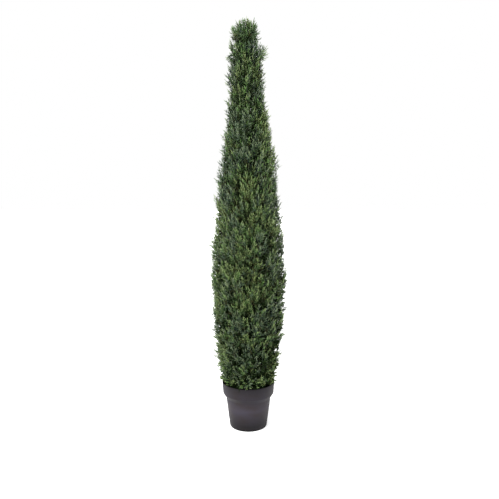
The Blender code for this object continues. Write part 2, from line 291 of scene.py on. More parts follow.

# Tones of the foliage: greens that vary at random, with hollow, deep, slate, umber and the darker
# shade as painted shade inside the crown and between its leaves
TONES = {
    "hollow": (0.010, 0.018, 0.006),
    "deep": (0.014, 0.026, 0.007),
    "slate": (0.018, 0.033, 0.026),
    "umber": (0.031, 0.033, 0.010),
    "shade": (0.042, 0.078, 0.024),
    "cool": (0.056, 0.093, 0.047),
    "mid": (0.070, 0.134, 0.036),
    "olive": (0.096, 0.130, 0.036),
    "fresh": (0.094, 0.190, 0.042),
    "grey": (0.121, 0.161, 0.077),
    "bright": (0.155, 0.215, 0.067),
}
GLOSS = {
    "hollow": 0.0,
    "deep": 0.10,
    "slate": 0.15,
    "umber": 0.10,
    "shade": 0.25,
    "cool": 0.50,
    "mid": 0.45,
    "olive": 0.45,
    "fresh": 0.50,
    "grey": 0.60,
    "bright": 0.60,
}
SLOTS = {
    "hollow": "foliage_dark",
    "deep": "foliage_dark",
    "slate": "foliage_dark",
    "umber": "foliage_dark",
    "shade": "foliage_dark",
    "cool": "foliage_mid",
    "mid": "foliage_mid",
    "olive": "foliage_mid",
    "fresh": "foliage_light",
    "grey": "foliage_light",
    "bright": "foliage_light",
}

# The three tones in a frond, rows from the crown's dark inside, painted shade, to its palest
# sprays; each row's first tone, mostly near-black, is painted shade in the gaps between leaves
COOL_TONES = (
    ("deep", "slate", "deep"),
    ("slate", "deep", "shade"),
    ("slate", "shade", "cool"),
    ("slate", "cool", "grey"),
    ("slate", "cool", "grey"),
    ("slate", "cool", "grey"),
    ("shade", "grey", "bright"),
)
LEAFY_TONES = (
    ("deep", "deep", "deep"),
    ("deep", "deep", "shade"),
    ("deep", "shade", "mid"),
    ("deep", "mid", "fresh"),
    ("deep", "mid", "bright"),
    ("shade", "fresh", "bright"),
    ("shade", "fresh", "bright"),
)
WARM_TONES = (
    ("deep", "umber", "deep"),
    ("umber", "deep", "shade"),
    ("umber", "shade", "olive"),
    ("umber", "olive", "mid"),
    ("umber", "olive", "bright"),
    ("shade", "olive", "bright"),
    ("shade", "bright", "bright"),
)
COOL_BELOW = -0.14
WARM_ABOVE = 0.22
HUE_SPREAD = 0.28
HUE_SPOT = Vector((5.0, 9.0, 2.0))

# A frond's step in those tones: painted shade by its depth in the crown, then its drift and its
# place
TONE_FLOOR = -2.2
# Painted shade: fronds deeper inside the crown step down to darker tones
PAINTED_SHADE_BY_DEPTH = 6.2
TONE_BY_DRIFT = 0.5
TOP_DEPTH = 0.95
# Painted light and shade by height: lifted low on the crown, where its bulge shades the sprays
# from the key light, dimmed at the sunlit top
HEIGHT_PAINTED_LIGHT_AND_SHADE = (
    (0.28, 1.75),
    (0.38, 1.80),
    (0.46, 1.28),
    (0.90, 0.54),
    (1.15, 0.50),
    (1.32, 0.66),
    (1.50, 0.66),
    (1.66, 0.74),
    (1.86, 0.48),
    (1.97, -0.4),
)
# Painted light and shade on the left flank, towards the key light: lighter about mid height,
# darker higher up
LEFT_PAINTED_LIGHT_AND_SHADE = (
    (0.62, 0.0),
    (0.75, 1.9),
    (1.02, 1.9),
    (1.20, 0.0),
    (1.28, -1.7),
    (1.50, -1.7),
    (1.66, 0.0),
)

# Light and camera
FLOOR_SIZE = 60.0
FLOOR_DROP = 0.0005
FLOOR_GLOW = 0.4
KEY_STRENGTH = 5.4
KEY_SOFTNESS = 24.0
KEY_TOWARDS = (0.70, 0.82, -1.40)
LENS = 38.96
SENSOR = 36.0
EYE = (0.0059, -2.77, 1.25)
TILT_DOWN = 6.38

UP = np.array([0.0, 0.0, 1.0])
AHEAD = np.array([1.0, 0.0, 0.0])


# The crown's rule, as in the solids


def between(table, height):
    """Reads a table of (height, value) pairs along straight lines."""
    if height <= table[0][0]:
        return table[0][1]
    for (low, low_value), (high, high_value) in zip(table, table[1:]):
        if height <= high:
            share = (height - low) / (high - low)
            return low_value + share * (high_value - low_value)
    return table[-1][1]


def crown_radius(height):
    return between(CROWN_OUTLINE, height)


def bough_foot(height):
    rise = math.tan(math.radians(between(BOUGH_RISE, height)))
    return height - crown_radius(height) * rise


def lean(height):
    share = min(1.0, max(0.0, (height - LEAN_FROM) / (LEAN_TO - LEAN_FROM)))
    return -LEAN * share * share * (3 - 2 * share)


def trunk_radius(height):
    flare = max(0.0, 1 - (height - FILL_TOP) / TRUNK_FLARE) ** 2
    share = max(0.0, (height - FILL_TOP) / (TRUNK_TIP - FILL_TOP))
    slim = TRUNK_RADIUS + share * (TRUNK_TIP_RADIUS - TRUNK_RADIUS)
    return min(TRUNK_FOOT_RADIUS, slim + flare * (TRUNK_FOOT_RADIUS - TRUNK_RADIUS))


def crown_point(height, turn, share):
    foot = bough_foot(height)
    z = foot + share * (height - foot)
    r = share * crown_radius(height)
    return Vector((lean(z) + r * math.cos(turn), r * math.sin(turn), z))


def crown_place(point):
    x, y = point.x - lean(point.z), point.y
    r = math.hypot(x, y)
    low, high = 0.0, CROWN_OUTLINE[-1][0] + 0.3
    for _ in range(30):
        middle = (low + high) / 2
        foot = bough_foot(middle)
        if foot + r / crown_radius(middle) * (middle - foot) < point.z:
            low = middle
        else:
            high = middle
    return low, math.atan2(y, x)


def blade_points(root, tip, roll, width):
    along = tip - root
    side = along.cross(Vector((0.0, 0.0, 1.0)))
    if side.length < 1e-4 * along.length:
        side = Vector((0.0, 1.0, 0.0))
    side = (Matrix.Rotation(roll, 3, along) @ side.normalized()) * width / 2
    crest = along.cross(side).normalized() * SPRAY_THICKNESS / 2
    tooth = root + TOOTH_AT * along
    notch = root + NOTCH_AT * along
    inset = NOTCH_WIDTH * side
    edge = [tip, notch + inset, tooth + side, root, tooth - side, notch - inset]
    middle = root + CREST_AT * along
    return edge, (middle + crest, middle - crest)


def keeps_to(edge, crests, heights, turns):
    middle = (turns[0] + turns[1]) / 2
    points = [*edge, *crests]
    points += [(a + b) / 2 for a, b in zip(edge, edge[1:] + edge[:1])]
    points += [(a + b) / 2 for a in edge for b in crests]
    for point in points:
        height, turn = crown_place(point)
        off = math.remainder(turn - middle, 2 * math.pi)
        r = math.hypot(point.x - lean(point.z), point.y)
        side_room = (turns[1] - turns[0]) / 2 - MASS_MARGIN / r
        if not heights[0] + MASS_MARGIN < height < heights[1] - MASS_MARGIN:
            return False
        if abs(off) > side_room:
            return False
    return True


def mass_sprays(heights, turns, dice):
    """Outlines of a mass's sprays, in staggered rows, drawn as the solids' are."""
    centre = (turns[0] + turns[1]) / 2
    radius = crown_radius((heights[0] + heights[1]) / 2)
    pitch = (heights[1] - heights[0]) / SPRAY_ROWS
    row_heights = [heights[0] + (row + 0.5) * pitch for row in range(SPRAY_ROWS)]
    lowest_root = heights[0] + 3 * CORE_MARGIN
    if heights[0] == CROWN_FOOT:
        row_heights.insert(0, heights[0] + SKIRT)
        lowest_root = heights[0] + SKIRT
    blades = []
    for row, height in enumerate(row_heights):
        loose = SKIRT_LOOSENESS if height < heights[0] + pitch / 4 else 1.0
        arc = (turns[1] - turns[0]) * crown_radius(height)
        columns = max(2, round(arc / SPRAY_PITCH))
        for column in range(columns):
            stagger = ROW_STAGGER if row % 2 else -ROW_STAGGER
            share = (column + 0.5 + stagger) / columns
            for attempt in range(SPRAY_TRIES):
                ease = 1 - DRAW_IN * attempt / SPRAY_TRIES
                lift = loose * SPRAY_LIFT * dice.uniform(*SPRAY_LIFT_SPREAD)
                root_height = max(lowest_root, height - ROOT_DROP * lift)
                turn = centre + ease * (share - 0.5) * (turns[1] - turns[0])
                root = crown_point(root_height, turn, SPRAY_ROOT)
                rise = dice.uniform(-TIP_DRIFT[0], TIP_DRIFT[0]) * pitch
                tip_height = height + (1 - ROOT_DROP) * lift + loose * rise
                drift = dice.uniform(-TIP_DRIFT[1], TIP_DRIFT[1]) * SPRAY_PITCH / radius
                tip = crown_point(tip_height, turn + ease * drift, dice.uniform(*SPRAY_REACH))
                roll = loose * dice.uniform(-SPRAY_ROLL, SPRAY_ROLL)
                width = SPRAY_WIDTH * dice.uniform(*SPRAY_WIDTHS) * ease
                edge, crests = blade_points(root, tip, roll, width)
                if keeps_to(edge, crests, heights, turns):
                    blades.append(edge)
                    break
    return blades


def top_sprays():
    """Outlines of the sprays in the tuft over the trunk's tip."""
    dice = random.Random(TOP_SEED)
    axis = Vector((lean(TRUNK_TIP), 0.0, 0.0))
    up = Vector((0.0, 0.0, 1.0))
    space = (CROWN_TOP_TIER, CROWN_OUTLINE[-1][0] + 0.25)
    all_round = (-math.pi, math.pi + 0.2)
    blades = []
    for count, spreads, tips in TOP_RINGS:
        for place in range(count):
            for _ in range(SPRAY_TRIES):
                turn = 2 * math.pi * (place + dice.uniform(-0.2, 0.2)) / count
                out = Vector((math.cos(turn), math.sin(turn), 0.0))
                spread = dice.uniform(*spreads)
                tip_height = dice.uniform(*tips)
                drop = min(TOP_ROOTS[1], tip_height - TOP_SPRAY_DROP)
                root = axis + 0.2 * spread * out + up * max(TOP_ROOTS[0], drop)
                tip = axis + spread * out + up * tip_height
                width = TOP_SPRAY_WIDTH * dice.uniform(*TOP_SPRAY_WIDTHS)
                roll = dice.uniform(-TOP_SPRAY_ROLL, TOP_SPRAY_ROLL)
                edge, crests = blade_points(root, tip, roll, width)
                if keeps_to(edge, crests, space, all_round):
                    blades.append(edge)
                    break
    return blades


def masses():
    """Each mass as its bough's foot, the point where its twigs part and its sprays."""
    step = (CROWN_TOP_TIER - CROWN_FOOT) / TIERS
    for tier in range(TIERS):
        heights = (CROWN_FOOT + tier * step, CROWN_FOOT + (tier + 1) * step)
        middle = sum(heights) / 2
        wide = crown_radius(middle) > SLIM_RADIUS
        sectors = WIDE_SECTORS if wide else SLIM_SECTORS
        sector = 2 * math.pi / sectors
        first = FIRST_TURN + tier * TIER_TURN * sector
        for place in range(sectors):
            turns = (first + place * sector, first + (place + 1) * sector)
            turn = sum(turns) / 2
            foot = crown_point(middle, turn, trunk_radius(middle) / crown_radius(middle))
            fork = crown_point(middle, turn, SPRAY_ROOT - FORK_BEFORE)
            yield foot, fork, mass_sprays(heights, turns, random.Random(100 * tier + place))
    axis = Vector((lean(TRUNK_TIP), 0.0, 0.0))
    foot = axis + Vector((0.0, 0.0, TRUNK_TIP - 0.005))
    yield foot, axis + Vector((0.0, 0.0, TOP_ROOTS[0])), top_sprays()


# Tools for shaping pieces


def fresh_start():
    """Leaves nothing selected, so that an operator acts on the new piece alone."""
    if bpy.context.object and bpy.context.object.mode != "OBJECT":
        bpy.ops.object.mode_set(mode="OBJECT")
    bpy.ops.object.select_all(action="DESELECT")


def edit(obj, kind="VERT"):
    bpy.context.view_layer.objects.active = obj
    obj.select_set(True)
    bpy.ops.object.mode_set(mode="EDIT")
    bpy.ops.mesh.select_mode(type=kind)


def pick(obj, test):
    """Selects the vertices that pass the test, in edit mode."""
    bpy.ops.mesh.select_all(action="DESELECT")
    bpy.ops.object.mode_set(mode="OBJECT")
    for vert in obj.data.vertices:
        vert.select = test(vert.co)
    bpy.ops.object.mode_set(mode="EDIT")


def finished(obj, material, slot, *nodes):
    """Settles a piece at the origin, on the object's one body."""
    fresh_start()
    obj.select_set(True)
    bpy.context.view_layer.objects.active = obj
    bpy.ops.object.transform_apply(location=True, rotation=True, scale=True)
    obj.data.materials.clear()
    obj.data.materials.append(material)
    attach(obj, "root")
    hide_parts(*nodes)
    obj.select_set(False)
    return obj


def turned(name, stations, sides, closed_top):
    """A turned form: a disc drawn up ring by ring through (radius, height) stations."""
    fresh_start()
    radius, height = stations[0]
    bpy.ops.mesh.primitive_circle_add(
        vertices=sides, radius=radius, fill_type="NGON", location=(0.0, 0.0, height)
    )
    obj = bpy.context.object
    obj.name = obj.data.name = name
    bpy.ops.object.transform_apply(location=True, rotation=False, scale=False)
    edit(obj, "EDGE")
    bpy.ops.mesh.select_all(action="SELECT")
    bpy.ops.mesh.region_to_loop()
    for next_radius, next_height in stations[1:]:
        bpy.ops.mesh.extrude_edges_move(
            TRANSFORM_OT_translate={"value": (0.0, 0.0, next_height - height)}
        )
        ratio = next_radius / radius
        bpy.ops.transform.resize(
            value=(ratio, ratio, 1.0), center_override=(0.0, 0.0, next_height)
        )
        radius, height = next_radius, next_height
    if closed_top:
        bpy.ops.mesh.edge_face_add()
    bpy.ops.mesh.select_all(action="SELECT")
    bpy.ops.mesh.normals_make_consistent(inside=False)
    bpy.ops.object.mode_set(mode="OBJECT")
    return obj


# Materials


def principled(name, roughness):
    material = bpy.data.materials.new(name)
    material.use_nodes = True
    shader = material.node_tree.nodes["Principled BSDF"]
    shader.inputs["Roughness"].default_value = roughness
    return material, shader


def add_noise(material, scale, detail, stretch=(1.0, 1.0, 1.0)):
    """Noise on the object's own coordinates."""
    nodes, links = material.node_tree.nodes, material.node_tree.links
    place = nodes.new("ShaderNodeTexCoord")
    mapping = nodes.new("ShaderNodeMapping")
    mapping.inputs["Scale"].default_value = stretch
    texture = nodes.new("ShaderNodeTexNoise")
    texture.inputs["Scale"].default_value = scale
    texture.inputs["Detail"].default_value = detail
    links.new(place.outputs["Object"], mapping.inputs["Vector"])
    links.new(mapping.outputs["Vector"], texture.inputs["Vector"])
    return texture


def add_ramp(material, source, stops):
    nodes, links = material.node_tree.nodes, material.node_tree.links
    ramp = nodes.new("ShaderNodeValToRGB")
    elements = ramp.color_ramp.elements
    while len(elements) < len(stops):
        elements.new(0.5)
    for element, (position, color) in zip(elements, stops):
        element.position = position
        element.color = (*color, 1.0)
    links.new(source, ramp.inputs["Fac"])
    return ramp.outputs["Color"]


def add_bump(material, shader, source, distance, strength=1.0):
    nodes, links = material.node_tree.nodes, material.node_tree.links
    bump = nodes.new("ShaderNodeBump")
    bump.inputs["Distance"].default_value = distance
    bump.inputs["Strength"].default_value = strength
    links.new(source, bump.inputs["Height"])
    links.new(bump.outputs["Normal"], shader.inputs["Normal"])


def scaled(color, factor):
    return tuple(min(1.0, channel * factor) for channel in color)


def foliage_material(tone):
    """Moulded sprays: one green with small flecks and an even satin skin."""
    material, shader = principled(f"spray_{tone}", 0.38)
    shader.inputs["Specular IOR Level"].default_value = GLOSS[tone]
    texture = add_noise(material, 95.0, 2.0)
    color = TONES[tone]
    stops = ((0.32, scaled(color, 0.80)), (0.68, scaled(color, 1.18)))
    result = add_ramp(material, texture.outputs["Fac"], stops)
    material.node_tree.links.new(result, shader.inputs["Base Color"])
    return material


def bark_material():
    material, shader = principled("trunk_bark", 0.85)
    texture = add_noise(material, 60.0, 6.0, (1.0, 1.0, 0.25))
    stops = (
        (0.30, (0.030, 0.020, 0.014)),
        (0.55, (0.085, 0.058, 0.040)),
        (0.80, (0.160, 0.120, 0.085)),
    )
    result = add_ramp(material, texture.outputs["Fac"], stops)
    material.node_tree.links.new(result, shader.inputs["Base Color"])
    add_bump(material, shader, texture.outputs["Fac"], 0.0012)
    return material


def twig_material():
    material, shader = principled("twig_bark", 0.75)
    texture = add_noise(material, 140.0, 3.0)
    stops = ((0.30, (0.030, 0.032, 0.018)), (0.70, (0.075, 0.070, 0.038)))
    result = add_ramp(material, texture.outputs["Fac"], stops)
    material.node_tree.links.new(result, shader.inputs["Base Color"])
    return material


def stem_material():
    """Stems of the moulded sprays: the same plastic as the leaves, paler and greyer."""
    material, shader = principled("spray_stem", 0.50)
    texture = add_noise(material, 120.0, 2.0)
    stops = ((0.30, (0.055, 0.085, 0.035)), (0.70, (0.160, 0.190, 0.100)))
    result = add_ramp(material, texture.outputs["Fac"], stops)
    material.node_tree.links.new(result, shader.inputs["Base Color"])
    return material


def fill_material():
    material, shader = principled("cast_fill", 0.95)
    texture = add_noise(material, 160.0, 8.0)
    stops = (
        (0.30, (0.004, 0.004, 0.003)),
        (0.60, (0.014, 0.012, 0.010)),
        (0.85, (0.035, 0.030, 0.025)),
    )
    result = add_ramp(material, texture.outputs["Fac"], stops)
    material.node_tree.links.new(result, shader.inputs["Base Color"])
    add_bump(material, shader, texture.outputs["Fac"], 0.0015)
    return material


def pot_material():
    """Charcoal moulded plastic: painted shade at the rim under the foliage and towards the foot,
    painted light in the body's middle, cloudy bloom, fine grain.
    """
    material, shader = principled("pot_plastic", 0.55)
    shader.inputs["Specular IOR Level"].default_value = 0.12
    nodes, links = material.node_tree.nodes, material.node_tree.links
    cloud = add_noise(material, 11.0, 5.0, (1.0, 1.0, 1.7))
    stops = (
        (0.32, (0.0232, 0.0168, 0.0188)),
        (0.50, (0.0270, 0.0216, 0.0276)),
        (0.68, (0.0292, 0.0252, 0.0352)),
    )
    bloom = add_ramp(material, cloud.outputs["Fac"], stops)
    # Painted light and shade: a ramp over the pot's height darkens the rim and the foot and
    # lightens the body's middle
    place = nodes.new("ShaderNodeTexCoord")
    height = nodes.new("ShaderNodeSeparateXYZ")
    links.new(place.outputs["Object"], height.inputs["Vector"])
    share = nodes.new("ShaderNodeMapRange")
    share.inputs["From Max"].default_value = POT_HEIGHT
    links.new(height.outputs["Z"], share.inputs["Value"])
    painted_light_and_shade = add_ramp(
        material, share.outputs["Result"], tuple((at, (tint,) * 3) for at, tint in POT_PAINTED_LIGHT_AND_SHADE)
    )
    blend = nodes.new("ShaderNodeMix")
    blend.data_type = "RGBA"
    blend.blend_type = "MULTIPLY"
    blend.inputs["Factor"].default_value = 1.0
    links.new(bloom, blend.inputs["A"])
    links.new(painted_light_and_shade, blend.inputs["B"])
    links.new(blend.outputs["Result"], shader.inputs["Base Color"])
    grain = add_noise(material, 900.0, 2.0)
    add_bump(material, shader, grain.outputs["Fac"], 0.00012, 0.5)
    rough = add_ramp(material, cloud.outputs["Fac"], ((0.3, (0.48,) * 3), (0.7, (0.62,) * 3)))
    links.new(rough, shader.inputs["Roughness"])
    return material


# Pot, fill and trunk


def build_pot():
    """The pot, drawn up from its flat foot over the rim and down inside."""
    step_top = POT_HEIGHT - RIM_DEPTH
    step_foot = step_top - STEP_DEPTH
    stations = [(0.060, 0.0), (BASE_RADIUS - BASE_ROUND, 0.0)]
    for degrees in (22.5, 45.0, 67.5, 90.0):
        angle = math.radians(degrees)
        r = BASE_RADIUS - BASE_ROUND + BASE_ROUND * math.sin(angle)
        stations.append((r, BASE_ROUND * (1 - math.cos(angle))))
    slope = (SHOULDER_RADIUS - BASE_RADIUS) / (step_foot - BASE_ROUND)
    for z in (0.06, 0.11, step_foot - 0.004):
        stations.append((BASE_RADIUS + slope * (z - BASE_ROUND), z))
    stations += [
        (SHOULDER_RADIUS + 0.0006, step_foot + 0.0006),
        (SHOULDER_RADIUS + 0.0020, step_foot + 0.0034),
        (RIM_FOOT_RADIUS - 0.0022, step_top - 0.0034),
        (RIM_FOOT_RADIUS - 0.0004, step_top - 0.0004),
        (RIM_FOOT_RADIUS + 0.0002, step_top + 0.0025),
        (RIM_RADIUS - 0.0006, POT_HEIGHT - 0.008),
        (RIM_RADIUS, POT_HEIGHT - LIP),
        (RIM_RADIUS - 0.3 * LIP, POT_HEIGHT - 0.3 * LIP),
        (RIM_RADIUS - LIP, POT_HEIGHT),
        (RIM_RADIUS - WALL + LIP, POT_HEIGHT),
        (RIM_RADIUS - WALL + 0.3 * LIP, POT_HEIGHT - 0.3 * LIP),
        (RIM_RADIUS - WALL, POT_HEIGHT - LIP),
        (RIM_FOOT_RADIUS - WALL, step_top + 0.001),
        (SHOULDER_RADIUS - WALL, step_foot - 0.001),
        (BASE_RADIUS - WALL, BASE_ROUND),
        (BASE_RADIUS - BASE_ROUND, WALL),
    ]
    pot = turned("pot_shell", stations, POT_SIDES, True)
    bpy.context.view_layer.objects.active = pot
    pot.select_set(True)
    bpy.ops.object.shade_smooth_by_angle(angle=math.radians(40.0))
    finished(pot, pot_material(), "pot", "pot")


def build_fill():
    """The cast fill inside the pot, with a lumpy top round the trunk's socket."""
    step_top = POT_HEIGHT - RIM_DEPTH
    widening = (RIM_RADIUS - RIM_FOOT_RADIUS) / RIM_DEPTH
    edge = RIM_FOOT_RADIUS - WALL + (FILL_TOP - step_top) * widening - FILL_GAP
    stations = [
        (FILL_FOOT_RADIUS, WALL + 0.0007),
        (SHOULDER_RADIUS - WALL - 2 * FILL_GAP, step_top - STEP_DEPTH - 0.002),
        (RIM_FOOT_RADIUS - WALL - 0.001, step_top - 0.001),
    ]
    inner = TRUNK_FOOT_RADIUS + 0.0005
    for ring in range(FILL_RINGS + 1):
        stations.append((edge + (inner - edge) * ring / FILL_RINGS, FILL_TOP - 0.0015))
    stations.append((inner, FILL_TOP - 0.012))
    fill = turned("fill_top", stations, FILL_SIDES, True)
    for vert in fill.data.vertices:
        x, y, z = vert.co
        if z > FILL_TOP - 0.004:
            lump = noise.fractal(Vector((x, y, 0.0)) * LUMP_SCALE, 1.0, 2.0, 4)
            vert.co.z += FILL_LUMPS * max(-1.0, min(1.0, lump))
    finished(fill, fill_material(), "fill", "fill")


def build_trunk():
    """The trunk with the ridges and hollows of its bark."""
    fresh_start()
    length = TRUNK_TIP - TRUNK_FOOT
    bpy.ops.mesh.primitive_cylinder_add(
        vertices=TRUNK_SIDES,
        radius=TRUNK_RADIUS,
        depth=length,
        location=(0, 0, TRUNK_FOOT + length / 2),
    )
    trunk = bpy.context.object
    trunk.name = trunk.data.name = "trunk_bark"
    bpy.ops.object.transform_apply(location=True, rotation=False, scale=False)
    edit(trunk, "EDGE")
    bpy.ops.mesh.select_all(action="DESELECT")
    bpy.ops.object.mode_set(mode="OBJECT")
    for side in trunk.data.edges:
        low, high = (trunk.data.vertices[i].co.z for i in side.vertices)
        side.select = abs(high - low) > 0.5 * length
    bpy.ops.object.mode_set(mode="EDIT")
    bpy.ops.mesh.subdivide(number_cuts=TRUNK_RINGS)
    bpy.ops.object.mode_set(mode="OBJECT")
    for vert in trunk.data.vertices:
        x, y, z = vert.co
        turn = math.atan2(y, x)
        ridge = noise.fractal(
            Vector((5.0 * math.cos(turn), 5.0 * math.sin(turn), 22.0 * z)), 1.0, 2.0, 4
        )
        radius = trunk_radius(z) * (1 - BARK_DEPTH + BARK_DEPTH * max(-1.0, min(1.0, ridge)))
        vert.co.x = lean(z) + radius * math.cos(turn)
        vert.co.y = radius * math.sin(turn)
    bpy.context.view_layer.objects.active = trunk
    bpy.ops.object.shade_smooth_by_angle(angle=math.radians(50.0))
    finished(trunk, bark_material(), "trunk", "trunk")


# Leaves, fronds, twigs and boughs


def leaf_shape():
    """One leaf, lance-shaped: a flattened cone for its tip, drawn down to a slimmer foot."""
    fresh_start()
    tip = 1.0 - LEAF_BELLY
    bpy.ops.mesh.primitive_cone_add(
        vertices=3, radius1=0.5, radius2=0.0, depth=tip, end_fill_type="NOTHING"
    )
    leaf = bpy.context.object
    edit(leaf)
    pick(leaf, lambda co: co.z < 0)
    bpy.ops.mesh.extrude_edges_move(TRANSFORM_OT_translate={"value": (0.0, 0.0, -LEAF_BELLY)})
    bpy.ops.transform.resize(
        value=(LEAF_FOOT, LEAF_FOOT, 1.0), center_override=(0.0, 0.0, -LEAF_BELLY)
    )
    bpy.ops.mesh.edge_face_add()
    bpy.ops.mesh.select_all(action="SELECT")
    bpy.ops.transform.resize(value=(1.0, LEAF_FLATNESS, 1.0), center_override=(0.0, 0.0, 0.0))
    bpy.ops.mesh.quads_convert_to_tris()
    return taken_up(leaf)


def needle_shape():
    """One needle: a long three-sided cone with its foot closed, along +X."""
    fresh_start()
    bpy.ops.mesh.primitive_cone_add(
        vertices=3, radius1=0.5, radius2=0.0, depth=1.0, end_fill_type="TRIFAN"
    )
    needle = bpy.context.object
    edit(needle)
    pick(needle, lambda co: co.xy.length < 1e-4 and co.z < 0)
    bpy.ops.mesh.dissolve_verts()
    pick(needle, lambda co: co.z < 0)
    bpy.ops.transform.resize(
        value=(1.0, NEEDLE_FLATNESS, 1.0), center_override=(0.0, 0.0, -0.5)
    )
    bpy.ops.mesh.select_all(action="SELECT")
    bpy.ops.mesh.quads_convert_to_tris()
    return taken_up(needle)


def taken_up(shape):
    """A unit shape's points, turned to run along +X from 0 to 1, and its triangles."""
    bpy.ops.mesh.select_all(action="SELECT")
    bpy.ops.mesh.normals_make_consistent(inside=False)
    bpy.ops.object.mode_set(mode="OBJECT")
    points = np.array([v.co[:] for v in shape.data.vertices])
    faces = np.array([p.vertices[:] for p in shape.data.polygons])
    bpy.data.objects.remove(shape)
    lowest = points[:, 2].min()
    length = points[:, 2].max() - lowest
    points = np.stack([(points[:, 2] - lowest) / length, points[:, 0], points[:, 1]], axis=1)
    return points, faces


def leaf_at(leaf, start, direction, length, width, spin):
    """The leaf's points, scaled and set along a direction from its start."""
    points, faces = leaf
    along = direction / np.linalg.norm(direction)
    side = np.cross(along, UP)
    side = side / np.linalg.norm(side)
    top = np.cross(side, along)
    side, top = (
        side * math.cos(spin) + top * math.sin(spin),
        top * math.cos(spin) - side * math.sin(spin),
    )
    placed = (
        points[:, :1] * length * along
        + points[:, 1:2] * width * side
        + points[:, 2:3] * width * top
    )
    return placed + start, faces


def join_arrays(parts):
    """Joins (points, faces) pairs into one."""
    offset = 0
    all_points, all_faces = [], []
    for points, faces in parts:
        all_points.append(points)
        all_faces.append(faces + offset)
        offset += len(points)
    return np.concatenate(all_points), np.concatenate(all_faces)


def frond_shape(leaf, needle, seed):
    """A frond along +X in the XY plane, its leaves dealt to three tones, paler to its tips."""
    dice = random.Random(seed)
    reach = PAIRS_REACH * FROND_LENGTH
    stem = leaf_at(leaf, np.zeros(3), AHEAD, STEM_SHARE * FROND_LENGTH, STEM_WIDTH, 0.0)
    zones = ([stem], [], [])
    for pair in range(FROND_PAIRS):
        share = pair / (FROND_PAIRS - 1)
        for hand in (-1.0, 1.0):
            x = reach * (FIRST_PAIR + PAIRS_SPAN * share) + dice.uniform(-PAIR_SPREAD, PAIR_SPREAD)
            start = np.array([x, 0.0, 0.0])
            off = dice.uniform(-LEAF_ANGLE_SPREAD, LEAF_ANGLE_SPREAD)
            angle = math.radians(LEAF_ANGLE - LEAF_ANGLE_DROP * share + off)
            tilt = math.radians(dice.uniform(*LEAF_TILTS))
            length = LEAF_LENGTH * (1.0 - LEAF_TAPER * share) * dice.uniform(*LEAF_LENGTHS)
            direction = set_off(angle, hand, tilt)
            spin = dice.uniform(0.0, 2.0)
            draw = 0.75 * dice.random() + 0.25 * share
            zone = zones[sum(draw > limit for limit in ZONE_SHARES)]
            zone.append(leaf_at(leaf, start, direction, length, LEAF_WIDTH, spin))
            if pair >= NEEDLED_FROM:
                foot = start + direction * length * dice.uniform(*NEEDLE_FEET)
                side = set_off(angle - math.radians(dice.uniform(*NEEDLE_TURNS)), hand, tilt)
                zone = zones[sum(dice.random() > limit for limit in ZONE_SHARES)]
                shorter = NEEDLE_SHARE * length
                zone.append(leaf_at(needle, foot, side, shorter, NEEDLE_WIDTH, spin))
    end = np.array([reach, 0.0, 0.0])
    last = np.array([1.0, dice.uniform(-0.15, 0.15), dice.uniform(-0.1, 0.2)])
    zones[2].append(leaf_at(leaf, end, last, END_LEAF * FROND_LENGTH, LEAF_WIDTH, 0.5))
    return [join_arrays(zone) for zone in zones]


def set_off(angle, hand, tilt):
    """A direction at an angle from +X, to one hand, tilted out of the frond's plane."""
    across = math.sin(angle)
    return np.array([math.cos(angle), hand * across * math.cos(tilt), across * math.sin(tilt)])


def filler_shape(needle):
    """A coarse frond, its needles wound round +X, that closes the view through the crown."""
    dice = random.Random(FILLER_SEED)
    width, length = FILLER_LEAF
    leaves = []
    for step in range(FILLER_LEAVES):
        direction = set_off(math.radians(dice.uniform(*FILLER_ANGLES)), 1.0, 0.9 * step)
        start = np.array([FILLER_REACH * step / FILLER_LEAVES, 0.0, 0.0])
        leaves.append(leaf_at(needle, start, direction, length, width, 0.4 * step))
    return join_arrays(leaves)


def unit(vector):
    return vector / np.linalg.norm(vector)


def tube(path, radii, sides):
    """A tapering tube of a few sides along a path."""
    path = np.asarray(path, float)
    ahead = np.gradient(path, axis=0)
    points = []
    for place, direction, radius in zip(path, ahead, radii):
        along = unit(direction)
        helper = UP if abs(along[2]) < 0.9 else AHEAD
        side = unit(np.cross(along, helper))
        top = np.cross(side, along)
        for step in range(sides):
            angle = 2 * math.pi * step / sides
            points.append(place + radius * (math.cos(angle) * side + math.sin(angle) * top))
    faces = []
    for ring in range(len(path) - 1):
        for step in range(sides):
            a = ring * sides + step
            b = ring * sides + (step + 1) % sides
            faces.append((a, b, b + sides))
            faces.append((a, b + sides, a + sides))
    return np.array(points), np.array(faces)


def curved(start, end, bow, count):
    """Points from start to end, sagging in the middle by bow times the length."""
    start, end = np.array(start), np.array(end)
    share = np.linspace(0.0, 1.0, count)[:, None]
    sag = -bow * np.linalg.norm(end - start) * UP
    return start + share * (end - start) + 4 * share * (1 - share) * sag


def frond_frame(direction, outward, dice):
    """Axes of a frond: its direction, its width and the face that it turns outwards."""
    wander = np.array([dice.uniform(-1.0, 1.0) for _ in range(3)])
    face = outward + FACE_WANDER * wander
    face = unit(face - direction * face.dot(direction))
    return np.stack([direction, np.cross(face, direction), face], axis=1)


